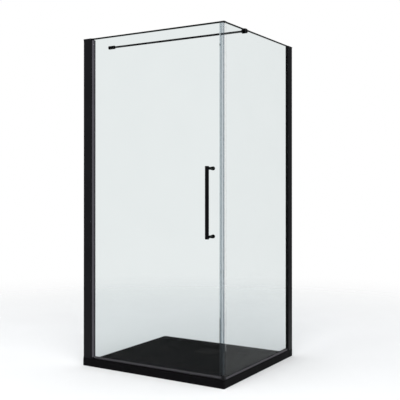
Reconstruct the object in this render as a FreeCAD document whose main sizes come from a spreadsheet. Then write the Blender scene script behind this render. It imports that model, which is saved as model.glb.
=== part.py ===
import FreeCAD, Part
import math
import os
import re
import Sketcher
from FreeCAD import Placement, Rotation, Vector

# Corner shower enclosure: a low tray, a pivot door, a fixed side panel and a stay bar.
# The origin is the centre of the tray's underside. X runs along the door from its hinge to the
# corner, Y from the door to the back, Z up. All sizes are in millimetres.

SIZES = {
    # tray
    "tray_width": 1000,
    "tray_depth": 900,
    "tray_height": 45,
    "tray_corner": 5,
    "tray_edge_round": 2.5,
    "upstand_wide": 50,
    "upstand_bank": 8,
    "upstand_corner": 30,
    "ledge_height": 18,
    "ledge_wide": 95,
    "ledge_front": 20,
    "basin_drop": 2,
    "basin_bank": 5,
    "basin_corner": 30,
    "basin_fall": 3.5,
    "drain_from_back": 220,
    "drain_recess": 146,
    "drain_recess_deep": 6.5,
    "drain_recess_corner": 9,
    "waste_bore": 90,
    # waste cover
    "cover_gap": 3,
    "cover_drop": 0.5,
    "cover_thick": 4,
    "cover_edge_round": 1.5,
    "cover_foot": 14,
    "cover_foot_inset": 15,
    # glass and where it stands
    "frame_height": 1965,
    "glass_thick": 8,
    "door_inset": 18,
    "panel_inset": 13,
    # wall channels and the profiles that telescope over them
    "channel_wall": 1.8,
    "channel_reach": 42,
    "channel_show": 10,
    "profile_width": 26,
    "profile_wall": 1.8,
    "profile_web": 2,
    "slide_gap": 0.3,
    "telescope_deep": 48,
    "profile_edge_round": 0.8,
    "wall_hole": 5.5,
    "wall_hole_end": 150,
    # screws that lock the telescopes, and their caps
    "clamp_screw": 4,
    "clamp_screw_long": 7,
    "clamp_screw_from_wall": 28,
    "clamp_screw_end": 115,
    "clamp_head": 8,
    "clamp_head_high": 2.4,
    "cap_wall": 1.2,
    "cap_plug_deep": 8,
    "screw_gap": 0.2,
    # hinge
    "pivot_from_wall": 68,
    "seat_gap": 0.5,
    "swing_gap": 1,
    "top_plate_thick": 9,
    "tongue_gap": 0.5,
    "foot_plate_thick": 8,
    "thrust_washer_thick": 1,
    "lift_gap": 1,
    "pivot_pin": 6,
    "pivot_pin_grip": 22,
    "running_gap": 0.05,
    "lip_seal_wide": 4,
    "lip_seal_reach": 3.5,
    "lip_seal_gap": 0.3,
    "port_wide": 7,
    "port_across": 14,
    "bracket_screw": 3,
    "bracket_screw_long": 16,
    "bracket_head": 6,
    "bracket_head_high": 2,
    # door stile
    "stile_nose": 20,
    "stile_bore": 9,
    "stile_bore_web": 1.2,
    "stile_wall": 2.5,
    "stile_grip": 6.8,
    "bearing_flange": 3,
    "bearing_long": 26,
    "plug_gap": 0.1,
    # glazing gaskets
    "gasket_thick": 1.5,
    "gasket_base": 1,
    "gasket_lip": 1,
    # side panel profile and bottom rail
    "cheek_reach": 60,
    "profile_cap_thick": 4,
    "panel_proud": 3,
    "rail_width": 14,
    "rail_height": 12,
    "rail_wall": 1.5,
    "rail_floor": 2,
    "rail_end_gap": 0.5,
    "block_high": 3,
    "block_long": 60,
    "block_end": 90,
    # corner seals
    "corner_gap": 14,
    "seal_wall": 1.5,
    "seal_clip": 10,
    "seal_mitre_gap": 0.4,
    "magnet_long": 8,
    "magnet_thick": 3,
    "magnet_skin": 1.2,
    "magnet_gap": 0.1,
    "corner_block_high": 27,
    "corner_block_round": 4,
    # door bottom seal
    "drip_clip": 8,
    "drip_floor": 1.5,
    "drip_clear": 1,
    "drip_lip": 1.4,
    "drip_end_gap": 0.5,
    # handle
    "handle_long": 400,
    "handle_bar": 22,
    "handle_end_round": 1.2,
    "handle_reach": 58,
    "handle_from_edge": 56,
    "handle_above_tray": 970,
    "post_wide": 16,
    "post_end": 12,
    "post_foot": 20,
    "post_foot_thick": 4,
    "spigot_wide": 8,
    "spigot_deep": 7,
    "spigot_gap": 0.1,
    "glass_hole": 12,
    "handle_screw": 6,
    "handle_screw_grip": 20,
    "handle_head": 11,
    "handle_head_high": 3.5,
    "handle_washer": 20,
    "handle_washer_thick": 1,
    "inner_cap": 22,
    "inner_cap_high": 7,
    "inner_cap_bevel": 1.5,
    # stay bar
    "stay_from_front": 260,
    "stay_drop": 13,
    "stay_bar": 12,
    "stay_fitting": 22,
    "stay_fitting_bevel": 1.5,
    "stay_fit_gap": 0.1,
    "stay_insert": 25,
    "socket_long": 45,
    "wall_plate": 17,
    "wall_plate_thick": 8,
    "wall_plate_hole": 5.2,
    "clamp_wide": 26,
    "clamp_inside": 20,
    "clamp_outside": 16,
    "clamp_insert": 12,
    "clamp_roof_gap": 0.3,
    "bridge_wide": 12,
    "bridge_thick": 2,
    "pad_thick": 1.5,
    "pad_wide": 14,
    "pad_high": 13,
    "grub": 4,
    "grub_long": 4.5,
    "jaw_grub": 6,
}

# Sizes and places that follow from the ones above. Distances "u" run from a wall into the room.
DERIVED = {
    "left_wall_x": "-tray_width / 2",
    "right_edge_x": "tray_width / 2",
    "front_edge_y": "-tray_depth / 2",
    "back_wall_y": "tray_depth / 2",
    "door_plane_y": "front_edge_y + door_inset",
    "side_plane_x": "right_edge_x - panel_inset",
    "glass_half": "glass_thick / 2",
    "sunk_inset": "upstand_wide + upstand_bank",
    "basin_edge_z": "ledge_height - basin_drop",
    "basin_low_z": "basin_edge_z - basin_fall",
    "drain_seat_z": "basin_low_z - drain_recess_deep",
    "drain_y": "back_wall_y - drain_from_back",
    "cover_side": "drain_recess - 2 * cover_gap",
    "cover_under_z": "basin_low_z - cover_drop - cover_thick",
    "frame_top_z": "tray_height + frame_height",
    "profile_top_z": "frame_top_z - top_plate_thick",
    "hinge_foot_z": "tray_height + foot_plate_thick",
    "hinge_long": "profile_top_z - hinge_foot_z",
    "side_top_z": "frame_top_z - panel_proud - profile_cap_thick",
    "side_long": "side_top_z - tray_height",
    "profile_half": "profile_width / 2",
    "profile_inside_half": "profile_half - profile_wall",
    "channel_half": "profile_inside_half - slide_gap",
    "web_end_u": "telescope_deep + profile_web",
    "slot_half": "glass_half + gasket_thick",
    "stile_half": "slot_half + stile_wall",
    "nose_radius": "stile_nose / 2",
    "jamb_front_u": "pivot_from_wall - stile_half - swing_gap",
    "seat_radius": "nose_radius + seat_gap",
    "chamber_end_u": "pivot_from_wall - seat_radius - profile_web",
    "port_u": "web_end_u + port_wide / 2 - 1",
    "port_hole": "bracket_screw + screw_gap",
    "pivot_x": "left_wall_x + pivot_from_wall",
    "leaf_bottom_z": "hinge_foot_z + thrust_washer_thick",
    "leaf_top_z": "profile_top_z - lift_gap",
    "leaf_high": "leaf_top_z - leaf_bottom_z",
    "stile_slot": "stile_bore / 2 + stile_bore_web",
    "stile_reach": "stile_slot + stile_grip",
    "tongue_half": "stile_slot + gasket_base - tongue_gap",
    "door_hinge_x": "pivot_x + stile_slot + gasket_base",
    "door_edge_x": "side_plane_x - corner_gap",
    "door_outer_y": "door_plane_y - glass_half",
    "panel_front_y": "door_plane_y + corner_gap",
    "panel_back_y": "back_wall_y - web_end_u - gasket_base",
    "panel_bottom_z": "tray_height + rail_floor + block_high",
    "rail_back_y": "back_wall_y - cheek_reach - gasket_lip - rail_end_gap",
    "rail_inside_half": "rail_width / 2 - rail_wall",
    "seal_half": "glass_half + seal_wall",
    "mitre": "seal_mitre_gap / sqrt(2)",
    "seal_bottom_z": "tray_height + corner_block_high",
    "handle_x": "door_edge_x - handle_from_edge",
    "handle_low_z": "tray_height + handle_above_tray - handle_long / 2",
    "handle_y": "door_outer_y - handle_reach",
    "post_low_z": "handle_low_z + post_end",
    "post_run": "handle_long - 2 * post_end",
    "stay_y": "front_edge_y + stay_from_front",
    "stay_z": "frame_top_z - stay_drop",
    "bar_start_x": "left_wall_x + socket_long - stay_insert",
    "bar_end_x": "side_plane_x - clamp_inside + clamp_insert",
    "jaw_half": "glass_half + pad_thick",
}

doc = FreeCAD.newDocument("ShowerEnclosure")
sheet = doc.addObject("Spreadsheet::Sheet", "Sizes")
pieces = []


def fill_sheet():
    """Write every size as a plain number and every derived place as a formula, each under its alias."""
    rows = [(name, str(number)) for name, number in SIZES.items()]
    rows += [(name, "=" + text) for name, text in DERIVED.items()]
    for line, (name, text) in enumerate(rows, start=1):
        sheet.set(f"A{line}", name)
        sheet.set(f"B{line}", text)
        sheet.setAlias(f"B{line}", name)
    doc.recompute()


def cells(text):
    """Expression text with each sheet name written as a reference to its cell."""
    def reference(word):
        name = word.group()
        return f"Sizes.{name}" if name in SIZES or name in DERIVED else name
    return re.sub(r"[a-z_]+", reference, text)


def number(text):
    """Present value of an expression on the sheet."""
    return float(sheet.evalExpression(cells(text)))


def bind(target, prop, text):
    target.setExpression(prop, cells(text))


def new_body(label, x="0", y="0", z="0", turn=0):
    """Empty body placed by expressions and turned about Z by a fixed angle in degrees."""
    body = doc.addObject("PartDesign::Body", label)
    body.Label = label
    body.Placement = Placement(Vector(), Rotation(Vector(0, 0, 1), turn))
    for axis, text in zip("xyz", (x, y, z)):
        bind(body, f"Placement.Base.{axis}", text)
    pieces.append(body)
    return body


def origin_part(body, role):
    return next(part for part in body.Origin.OriginFeatures if part.Role == role)


def sketch_on(body, plane, lift="0"):
    """Sketch on one of the body's own planes, lifted along that plane's normal."""
    sketch = body.newObject("Sketcher::SketchObject", "Profile")
    sketch.AttachmentSupport = [(origin_part(body, plane), "")]
    sketch.MapMode = "FlatFace"
    bind(sketch, "AttachmentOffset.Base.z", lift)
    return sketch


def fix_point(sketch, shape, end, x, y):
    """Tie one point of a sketched line, arc or circle to two expressions."""
    for kind, text in (("DistanceX", x), ("DistanceY", y)):
        index = sketch.addConstraint(Sketcher.Constraint(kind, -1, 1, shape, end, number(text)))
        bind(sketch, f"Constraints[{index}]", text)


def polygon(sketch, corners):
    """Closed outline through corners given as pairs of expressions."""
    points = [Vector(number(x), number(y), 0) for x, y in corners]
    ends = points[1:] + points[:1]
    lines = [sketch.addGeometry(Part.LineSegment(a, b), False) for a, b in zip(points, ends)]
    for line, after in zip(lines, lines[1:] + lines[:1]):
        sketch.addConstraint(Sketcher.Constraint("Coincident", line, 2, after, 1))
    for line, (x, y) in zip(lines, corners):
        fix_point(sketch, line, 1, x, y)


def rectangle(sketch, left, low, right, high):
    polygon(sketch, [(left, low), (right, low), (right, high), (left, high)])


def circle(sketch, x, y, diameter):
    """Full circle about a point given by expressions."""
    round_line = Part.Circle(Vector(number(x), number(y), 0), Vector(0, 0, 1), number(diameter) / 2)
    shape = sketch.addGeometry(round_line, False)
    fix_point(sketch, shape, 3, x, y)
    index = sketch.addConstraint(Sketcher.Constraint("Diameter", shape, number(diameter)))
    bind(sketch, f"Constraints[{index}]", diameter)


def rounded_rectangle(sketch, left, low, right, high, radius):
    """Rectangle whose corner arcs are tangent to its sides."""
    turn = math.pi / 2
    west, east = f"{left} + {radius}", f"{right} - {radius}"
    south, north = f"{low} + {radius}", f"{high} - {radius}"
    spots = [(west, south, 2), (east, south, 3), (east, north, 0), (west, north, 1)]
    arcs = []
    for x, y, quarter in spots:
        whole = Part.Circle(Vector(number(x), number(y), 0), Vector(0, 0, 1), number(radius))
        arc = sketch.addGeometry(Part.ArcOfCircle(whole, quarter * turn, (quarter + 1) * turn), False)
        fix_point(sketch, arc, 3, x, y)
        index = sketch.addConstraint(Sketcher.Constraint("Radius", arc, number(radius)))
        bind(sketch, f"Constraints[{index}]", radius)
        arcs.append(arc)
    for arc, after in zip(arcs, arcs[1:] + arcs[:1]):
        start = sketch.getPoint(arc, 2)
        end = sketch.getPoint(after, 1)
        side = sketch.addGeometry(Part.LineSegment(start, end), False)
        sketch.addConstraint(Sketcher.Constraint("Tangent", arc, 2, side, 1))
        sketch.addConstraint(Sketcher.Constraint("Tangent", side, 2, after, 1))


def pad(body, sketch, length, flip=False):
    """Extrude along the sketch's normal, or against it with flip."""
    feature = body.newObject("PartDesign::Pad", "Pad")
    feature.Profile = sketch
    feature.Reversed = flip
    bind(feature, "Length", length)
    return feature


def cut(body, sketch, length, flip=False):
    """Cut along the sketch's normal, or against it with flip."""
    feature = body.newObject("PartDesign::Pocket", "Cut")
    feature.Profile = sketch
    feature.Reversed = not flip
    bind(feature, "Length", length)
    return feature


def revolve(body, sketch, axis):
    """Full turn of a half profile about one of the body's own axes."""
    feature = body.newObject("PartDesign::Revolution", "Turned")
    feature.Profile = sketch
    feature.ReferenceAxis = (origin_part(body, axis), [""])
    feature.Angle = 360
    return feature


def row(body, features, axis, run, count):
    """Repeat features along one of the body's axes, first to last over the given run."""
    pattern = body.newObject("PartDesign::LinearPattern", "Row")
    pattern.Originals = features
    pattern.Direction = (origin_part(body, axis), [""])
    bind(pattern, "Length", run)
    pattern.Occurrences = count
    body.Tip = pattern
    return pattern


def loft_cut(body, upper, lower):
    """Take away the straight-sided space between two outlines."""
    feature = body.newObject("PartDesign::SubtractiveLoft", "Basin")
    feature.Profile = upper
    feature.Sections = [lower]
    feature.Ruled = True
    return feature


def round_edges(body, wanted, radius):
    """Fillet the edges of the body's present shape, in its own frame, that pass the test."""
    doc.recompute()
    base = body.Tip
    names = [f"Edge{i}" for i, edge in enumerate(base.Shape.Edges, start=1) if wanted(edge)]
    feature = body.newObject("PartDesign::Fillet", "Rounding")
    feature.Base = (base, names)
    bind(feature, "Radius", radius)
    return feature


def is_upright(edge):
    direction = edge.tangentAt(edge.FirstParameter)
    return abs(direction.z) > 0.99


def lies_at_z(height):
    return lambda edge: edge.BoundBox.ZLength < 0.01 and abs(edge.BoundBox.ZMin - height) < 0.01


def side(sign, text):
    """Expression on the chosen side of a centre line."""
    return f"{sign} * ({text})"


# Tray

def shower_tray():
    """Cast slab: an upstand on the open sides, a ledge, a basin falling to a drain recess, a waste hole."""
    body = new_body("shower_tray")
    slab = sketch_on(body, "XY_Plane")
    rectangle(slab, "left_wall_x", "front_edge_y", "right_edge_x", "back_wall_y")
    pad(body, slab, "tray_height")
    round_edges(body, is_upright, "tray_corner")
    loft_cut(body, sunk_outline(body, "tray_height", "upstand_wide", "upstand_corner"),
             sunk_outline(body, "ledge_height", "sunk_inset", "(upstand_corner - upstand_bank)"))
    round_edges(body, lies_at_z(number("tray_height")), "tray_edge_round")
    bank_foot = ("basin_edge_z", "basin_bank", "(basin_corner - basin_bank)")
    loft_cut(body, basin_outline(body, "ledge_height", "0", "basin_corner"), basin_outline(body, *bank_foot))
    loft_cut(body, basin_outline(body, *bank_foot), drain_outline(body))
    cut(body, drain_outline(body), "drain_recess_deep", flip=True)
    waste = sketch_on(body, "XY_Plane")
    circle(waste, "0", "drain_y", "waste_bore")
    cut(body, waste, "drain_seat_z")


def sunk_outline(body, level, inset, corner):
    """Rounded outline inside the upstand at one level, running out past the two wall edges."""
    sketch = sketch_on(body, "XY_Plane", level)
    rounded_rectangle(sketch, "left_wall_x - upstand_corner", f"front_edge_y + {inset}",
                      f"right_edge_x - {inset}", "back_wall_y + upstand_corner", corner)
    return sketch


def basin_outline(body, level, inset, corner):
    """Rounded outline of the basin at one level, inset from the edge of the ledge."""
    sketch = sketch_on(body, "XY_Plane", level)
    wall = f"(ledge_wide + {inset})"
    front = f"(sunk_inset + ledge_front + {inset})"
    rounded_rectangle(sketch, f"left_wall_x + {wall}", f"front_edge_y + {front}",
                      f"right_edge_x - {front}", f"back_wall_y - {wall}", corner)
    return sketch


def drain_outline(body):
    """Rounded square of the drain recess at the lowest level of the basin."""
    sketch = sketch_on(body, "XY_Plane", "basin_low_z")
    half = "drain_recess / 2"
    rounded_rectangle(sketch, f"-{half}", f"drain_y - {half}", half, f"drain_y + {half}",
                      "drain_recess_corner")
    return sketch


def waste_cover():
    """Square plate with softened edges that stands on four round feet in the drain recess."""
    body = new_body("waste_cover", "0", "drain_y", "drain_seat_z")
    feet_high = "(cover_under_z - drain_seat_z)"
    plate = sketch_on(body, "XY_Plane", feet_high)
    half = "cover_side / 2"
    rounded_rectangle(plate, f"-{half}", f"-{half}", half, half, "(drain_recess_corner - cover_gap)")
    pad(body, plate, "cover_thick")
    round_edges(body, lies_at_z(number(f"{feet_high} + cover_thick")), "cover_edge_round")
    feet = sketch_on(body, "XY_Plane")
    reach = f"({half} - cover_foot_inset)"
    for x in (-1, 1):
        for y in (-1, 1):
            circle(feet, side(x, reach), side(y, reach), "cover_foot")
    pad(body, feet, feet_high)


# Wall channels and the profiles that telescope over them. In their sketches x runs from the wall and
# y across the glass, and inner is the sign of y on the shower's side.

HINGE_INNER = 1
SIDE_INNER = -1


def hinge_place(along="0", up="0"):
    """Place of a piece on the hinge wall, by its distance from the wall and its height on the profile."""
    return {"x": f"left_wall_x + {along}", "y": "door_plane_y", "z": f"hinge_foot_z + {up}", "turn": 0}


def side_place(along="0", up="0"):
    """Place of a piece on the back wall, by its distance from the wall and its height on the profile."""
    return {"x": "side_plane_x", "y": f"back_wall_y - {along}", "z": f"tray_height + {up}", "turn": -90}


def wall_channel(label, place, inner, long):
    """U extrusion with wall screw holes in its web and lock screw holes in its inner leg."""
    body = new_body(label, **place)
    section = sketch_on(body, "XY_Plane")
    inside = "(channel_half - channel_wall)"
    polygon(section, [("0", "-channel_half"), ("channel_reach", "-channel_half"),
                      ("channel_reach", f"-{inside}"), ("channel_wall", f"-{inside}"),
                      ("channel_wall", inside), ("channel_reach", inside),
                      ("channel_reach", "channel_half"), ("0", "channel_half")])
    pad(body, section, long)
    fixing = sketch_on(body, "YZ_Plane")
    circle(fixing, "0", "wall_hole_end", "wall_hole")
    row(body, [cut(body, fixing, "channel_wall")], "Z_Axis", f"{long} - 2 * wall_hole_end", 4)
    lock_holes(body, inner, "channel_half", "channel_wall", long)


def lock_holes(body, inner, face, wall, long):
    """Row of lock screw holes through the inner wall of a profile, from its face inwards."""
    sketch = sketch_on(body, "XZ_Plane", side(-inner, face))
    circle(sketch, "clamp_screw_from_wall", "clamp_screw_end", "clamp_screw + screw_gap")
    row(body, [cut(body, sketch, wall, flip=inner < 0)], "Z_Axis", f"{long} - 2 * clamp_screw_end", 3)


def hinge_jamb():
    """Extrusion over the hinge channel: closed chamber, screw ports and a hollow seat for the stile."""
    body = new_body("hinge_jamb", **hinge_place())
    block = sketch_on(body, "XY_Plane")
    rectangle(block, "channel_show", "-profile_half", "jamb_front_u", "profile_half")
    pad(body, block, "hinge_long")
    middle = number("web_end_u")
    round_edges(body, lambda edge: is_upright(edge) and edge.BoundBox.XMin > middle, "profile_edge_round")
    hollows = sketch_on(body, "XY_Plane")
    rectangle(hollows, "channel_show", "-profile_inside_half", "telescope_deep", "profile_inside_half")
    rectangle(hollows, "web_end_u", "-profile_inside_half", "chamber_end_u", "profile_inside_half")
    cut(body, hollows, "hinge_long")
    seat = sketch_on(body, "XY_Plane")
    circle(seat, "pivot_from_wall", "0", "2 * seat_radius")
    cut(body, seat, "hinge_long")
    ports = sketch_on(body, "XY_Plane")
    bores = sketch_on(body, "XY_Plane")
    for sign in (-1, 1):
        circle(ports, "port_u", side(sign, "port_across / 2"), "port_wide")
        circle(bores, "port_u", side(sign, "port_across / 2"), "port_hole")
    pad(body, ports, "hinge_long")
    cut(body, bores, "hinge_long")
    lock_holes(body, HINGE_INNER, "profile_half", "profile_wall", "hinge_long")


def side_glazing_profile():
    """Extrusion over the side channel: a glass slot between two hollow cheeks."""
    body = new_body("side_glazing_profile", **side_place())
    block = sketch_on(body, "XY_Plane")
    rectangle(block, "channel_show", "-profile_half", "cheek_reach", "profile_half")
    pad(body, block, "side_long")
    middle = number("web_end_u")
    round_edges(body, lambda edge: is_upright(edge) and edge.BoundBox.XMin > middle, "profile_edge_round")
    hollows = sketch_on(body, "XY_Plane")
    rectangle(hollows, "channel_show", "-profile_inside_half", "telescope_deep", "profile_inside_half")
    rectangle(hollows, "web_end_u", "-slot_half", "cheek_reach", "slot_half")
    for sign in (-1, 1):
        rectangle(hollows, "web_end_u", side(sign, "slot_half + profile_wall"),
                  "cheek_reach - profile_wall", side(sign, "profile_inside_half"))
    cut(body, hollows, "side_long")
    lock_holes(body, SIDE_INNER, "profile_half", "profile_wall", "side_long")


def side_profile_cap():
    """Cover on the side profile's top, open for the glass, with a plug between the channel's legs."""
    body = new_body("side_profile_cap", "side_plane_x", "back_wall_y", "side_top_z", -90)
    cover = sketch_on(body, "XY_Plane")
    rectangle(cover, "0", "-profile_half", "cheek_reach", "profile_half")
    pad(body, cover, "profile_cap_thick")
    slot = sketch_on(body, "XY_Plane")
    rectangle(slot, "web_end_u", "-slot_half", "cheek_reach", "slot_half")
    cut(body, slot, "profile_cap_thick")
    plug = sketch_on(body, "XY_Plane")
    half = "(channel_half - channel_wall - plug_gap)"
    rectangle(plug, "channel_wall + plug_gap", f"-{half}", "channel_reach", half)
    pad(body, plug, "cap_plug_deep", flip=True)


def lock_screws(label, place, inner, long):
    """Row of pan-head screws through profile and channel, with their axes across the glass."""
    body = new_body(label, **place)
    half = sketch_on(body, "XY_Plane")
    face = side(inner, "profile_half")
    tip = side(inner, "profile_half - clamp_screw_long")
    top = side(inner, "profile_half + clamp_head_high")
    polygon(half, [("0", tip), ("clamp_screw / 2", tip), ("clamp_screw / 2", face),
                   ("clamp_head / 2", face), ("clamp_head / 2", top), ("0", top)])
    row(body, [revolve(body, half, "Y_Axis")], "Z_Axis", f"{long} - 2 * clamp_screw_end", 3)


def screw_caps(label, place, inner, long):
    """Row of snap-on caps, hollow round the screw heads, with a bevelled edge."""
    body = new_body(label, **place)
    half = sketch_on(body, "XY_Plane")
    face = side(inner, "profile_half")
    roof = side(inner, "profile_half + clamp_head_high + screw_gap")
    top = side(inner, "profile_half + clamp_head_high + screw_gap + cap_wall")
    inside = "clamp_head / 2 + screw_gap"
    outside = "clamp_head / 2 + screw_gap + cap_wall"
    polygon(half, [(inside, face), (outside, face), (outside, roof), (inside, top),
                   ("0", top), ("0", roof), (inside, roof)])
    row(body, [revolve(body, half, "Y_Axis")], "Z_Axis", f"{long} - 2 * clamp_screw_end", 3)


# Hinge: brackets, pins and seal. The brackets' sketches have x from the wall, as the profiles do.

def pivot_bracket(label, z, thick, arm_half, heads_up):
    """Plate as wide as the jamb with a round-ended arm to the pivot, bored for the pin and two screws."""
    body = new_body(label, "left_wall_x", "door_plane_y", z)
    plate = sketch_on(body, "XY_Plane")
    rectangle(plate, "0", "-profile_half", "jamb_front_u", "profile_half")
    pad(body, plate, thick)
    arm = sketch_on(body, "XY_Plane")
    rectangle(arm, "jamb_front_u", f"-{arm_half}", "pivot_from_wall", arm_half)
    pad(body, arm, thick)
    end = sketch_on(body, "XY_Plane")
    circle(end, "pivot_from_wall", "0", f"2 * {arm_half}")
    pad(body, end, thick)
    holes = sketch_on(body, "XY_Plane")
    heads = sketch_on(body, "XY_Plane", thick if heads_up else "0")
    circle(holes, "pivot_from_wall", "0", "pivot_pin + 2 * running_gap")
    for sign in (-1, 1):
        circle(holes, "port_u", side(sign, "port_across / 2"), "port_hole")
        circle(heads, "port_u", side(sign, "port_across / 2"), "bracket_head + screw_gap")
    cut(body, holes, thick)
    cut(body, heads, "bracket_head_high + screw_gap", flip=heads_up)


def bracket_screws():
    """Four cheese-head screws: two down through the top bracket, two up through the foot bracket."""
    body = new_body("bracket_screws", "left_wall_x + port_u", "door_plane_y - port_across / 2")
    for under, inward in (("frame_top_z - bracket_head_high - screw_gap", -1),
                          ("tray_height + bracket_head_high + screw_gap", 1)):
        head = f"{under} - {inward} * bracket_head_high"
        tip = f"{under} + {inward} * bracket_screw_long"
        half = sketch_on(body, "XZ_Plane")
        polygon(half, [("0", head), ("bracket_head / 2", head), ("bracket_head / 2", under),
                       ("bracket_screw / 2", under), ("bracket_screw / 2", tip), ("0", tip)])
        row(body, [revolve(body, half, "Z_Axis")], "Y_Axis", "port_across", 2)


def pivot_pin(label, low, high):
    """Plain steel pin on the pivot axis, fixed in its bracket."""
    pin = doc.addObject("Part::Cylinder", label)
    pin.Label = label
    bind(pin, "Radius", "pivot_pin / 2")
    bind(pin, "Height", f"{high} - ({low})")
    for axis, text in zip("xyz", ("pivot_x", "door_plane_y", low)):
        bind(pin, f"Placement.Base.{axis}", text)
    pieces.append(pin)


def thrust_washer():
    """Flat ring on the foot bracket that carries the door."""
    body = new_body("thrust_washer", "pivot_x", "door_plane_y", "hinge_foot_z")
    disc = sketch_on(body, "XY_Plane")
    circle(disc, "0", "0", "2 * stile_half")
    circle(disc, "0", "0", "pivot_pin + 2 * running_gap")
    pad(body, disc, "thrust_washer_thick")


def hinge_lip_seal():
    """Strip on the jamb's front with a hollow face that follows the stile's nose."""
    body = new_body("hinge_lip_seal", "pivot_x", "door_plane_y", "hinge_foot_z")
    base = "jamb_front_u - pivot_from_wall"
    edge = "profile_half - profile_edge_round"
    strip = sketch_on(body, "XY_Plane")
    rectangle(strip, base, f"{edge} - lip_seal_wide", f"{base} + lip_seal_reach", edge)
    pad(body, strip, "hinge_long")
    hollow = sketch_on(body, "XY_Plane")
    circle(hollow, "0", "0", "stile_nose + 2 * lip_seal_gap")
    cut(body, hollow, "hinge_long")


# Door. The stile's sketches have their origin on the pivot axis, with x towards the glass.

def door_stile():
    """Extrusion with a round nose about the pivot, a bore for the bearings and a slot for the glass."""
    body = new_body("door_stile", "pivot_x", "door_plane_y", "leaf_bottom_z + bearing_flange")
    long = "leaf_high - 2 * bearing_flange"
    nose = sketch_on(body, "XY_Plane")
    circle(nose, "0", "0", "stile_nose")
    pad(body, nose, long)
    cheeks = sketch_on(body, "XY_Plane")
    rectangle(cheeks, "0", "-stile_half", "stile_reach", "stile_half")
    pad(body, cheeks, long)
    slot = sketch_on(body, "XY_Plane")
    rectangle(slot, "stile_slot", "-slot_half", "stile_reach", "slot_half")
    cut(body, slot, long)
    bore = sketch_on(body, "XY_Plane")
    circle(bore, "0", "0", "stile_bore")
    cut(body, bore, long)


def glazing_gasket(label, place, base, reach, long):
    """U section round a glass edge, with equal legs on both sides of the glass."""
    body = new_body(label, **place)
    section = sketch_on(body, "XY_Plane")
    glass_edge = f"{base} + gasket_base"
    polygon(section, [(base, "-slot_half"), (reach, "-slot_half"), (reach, "-glass_half"),
                      (glass_edge, "-glass_half"), (glass_edge, "glass_half"), (reach, "glass_half"),
                      (reach, "slot_half"), (base, "slot_half")])
    pad(body, section, long)


def pivot_bearing(label, z, flange_at):
    """Flanged plug: a disc cut flat beside the glass and a spigot in the stile's bore, bored for the pin."""
    body = new_body(label, "pivot_x", "door_plane_y", z)
    disc = sketch_on(body, "XY_Plane", flange_at)
    circle(disc, "0", "0", "stile_nose")
    pad(body, disc, "bearing_flange")
    flat = sketch_on(body, "XY_Plane", flange_at)
    rectangle(flat, "stile_slot", "-stile_nose", "stile_nose", "stile_nose")
    cut(body, flat, "bearing_flange")
    spigot = sketch_on(body, "XY_Plane")
    circle(spigot, "0", "0", "stile_bore - 2 * plug_gap")
    pad(body, spigot, "bearing_long")
    bore = sketch_on(body, "XY_Plane")
    circle(bore, "0", "0", "pivot_pin + 2 * running_gap")
    cut(body, bore, "bearing_long")


def door_glass():
    """Toughened pane with two holes for the handle."""
    body = new_body("door_glass", "0", "door_outer_y", "0")
    pane = sketch_on(body, "XZ_Plane")
    rectangle(pane, "door_hinge_x", "leaf_bottom_z", "door_edge_x", "frame_top_z")
    for z in ("post_low_z", "post_low_z + post_run"):
        circle(pane, "handle_x", z, "glass_hole")
    pad(body, pane, "glass_thick", flip=True)


def door_bottom_seal():
    """Clip-on strip: a U round the glass edge with a slanted drip lip just above the tray."""
    start = "pivot_x + stile_reach + gasket_lip + drip_end_gap"
    body = new_body("door_bottom_seal", start, "door_plane_y", "leaf_bottom_z")
    low = "tray_height + drip_clear - leaf_bottom_z"
    section = sketch_on(body, "YZ_Plane")
    polygon(section, [("-seal_half", "drip_clip"), ("-seal_half", "-drip_floor"),
                      ("-glass_half / 2", "-drip_floor"), ("0", low), ("drip_lip", low),
                      ("drip_lip", "-drip_floor"), ("seal_half", "-drip_floor"), ("seal_half", "drip_clip"),
                      ("glass_half", "drip_clip"), ("glass_half", "0"),
                      ("-glass_half", "0"), ("-glass_half", "drip_clip")])
    pad(body, section, f"door_edge_x - drip_end_gap - ({start})")


# Corner seals. Their sketches have the origin where the two glass planes cross. The door's half lies
# on the side of smaller x + y, and the panel's half is its mirror image in the mitre.

def corner_outline(sketch, corners, mirrored):
    """Outline for the door's half, or the same outline mirrored in the mitre for the panel's half."""
    polygon(sketch, [(f"-({y})", f"-({x})") if mirrored else (x, y) for x, y in corners])


def magnet_corners(gap):
    """Corners of the magnet strip behind the mitre face, made smaller all round by the gap."""
    near = f"(mitre / 2 + (magnet_skin + {gap}) / sqrt(2))"
    far = f"(mitre / 2 + (magnet_skin + magnet_thick - {gap}) / sqrt(2))"
    along = f"((magnet_long / 2 - {gap}) / sqrt(2))"
    return [(f"-{near} - {along}", f"-{near} + {along}"), (f"-{near} + {along}", f"-{near} - {along}"),
            (f"-{far} + {along}", f"-{far} - {along}"), (f"-{far} - {along}", f"-{far} + {along}")]


def corner_seal(label, magnet_label, bottom, mirrored):
    """Clip-on seal with a mitred nose, a cavity behind the mitre, and the magnet strip in it."""
    place = {"x": "side_plane_x", "y": "door_plane_y", "z": bottom}
    long = f"frame_top_z - ({bottom})"
    seal = new_body(label, **place)
    clip = "-corner_gap - seal_clip"
    section = sketch_on(seal, "XY_Plane")
    corner_outline(section, [(clip, "-seal_half"), ("seal_half - mitre", "-seal_half"),
                             ("-seal_half - mitre", "seal_half"), (clip, "seal_half"), (clip, "glass_half"),
                             ("-corner_gap", "glass_half"), ("-corner_gap", "-glass_half"),
                             (clip, "-glass_half")], mirrored)
    pad(seal, section, long)
    cavity = sketch_on(seal, "XY_Plane")
    corner_outline(cavity, magnet_corners("0"), mirrored)
    cut(seal, cavity, long)
    magnet = new_body(magnet_label, **place)
    strip = sketch_on(magnet, "XY_Plane")
    corner_outline(strip, magnet_corners("magnet_gap"), mirrored)
    pad(magnet, strip, long)


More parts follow.
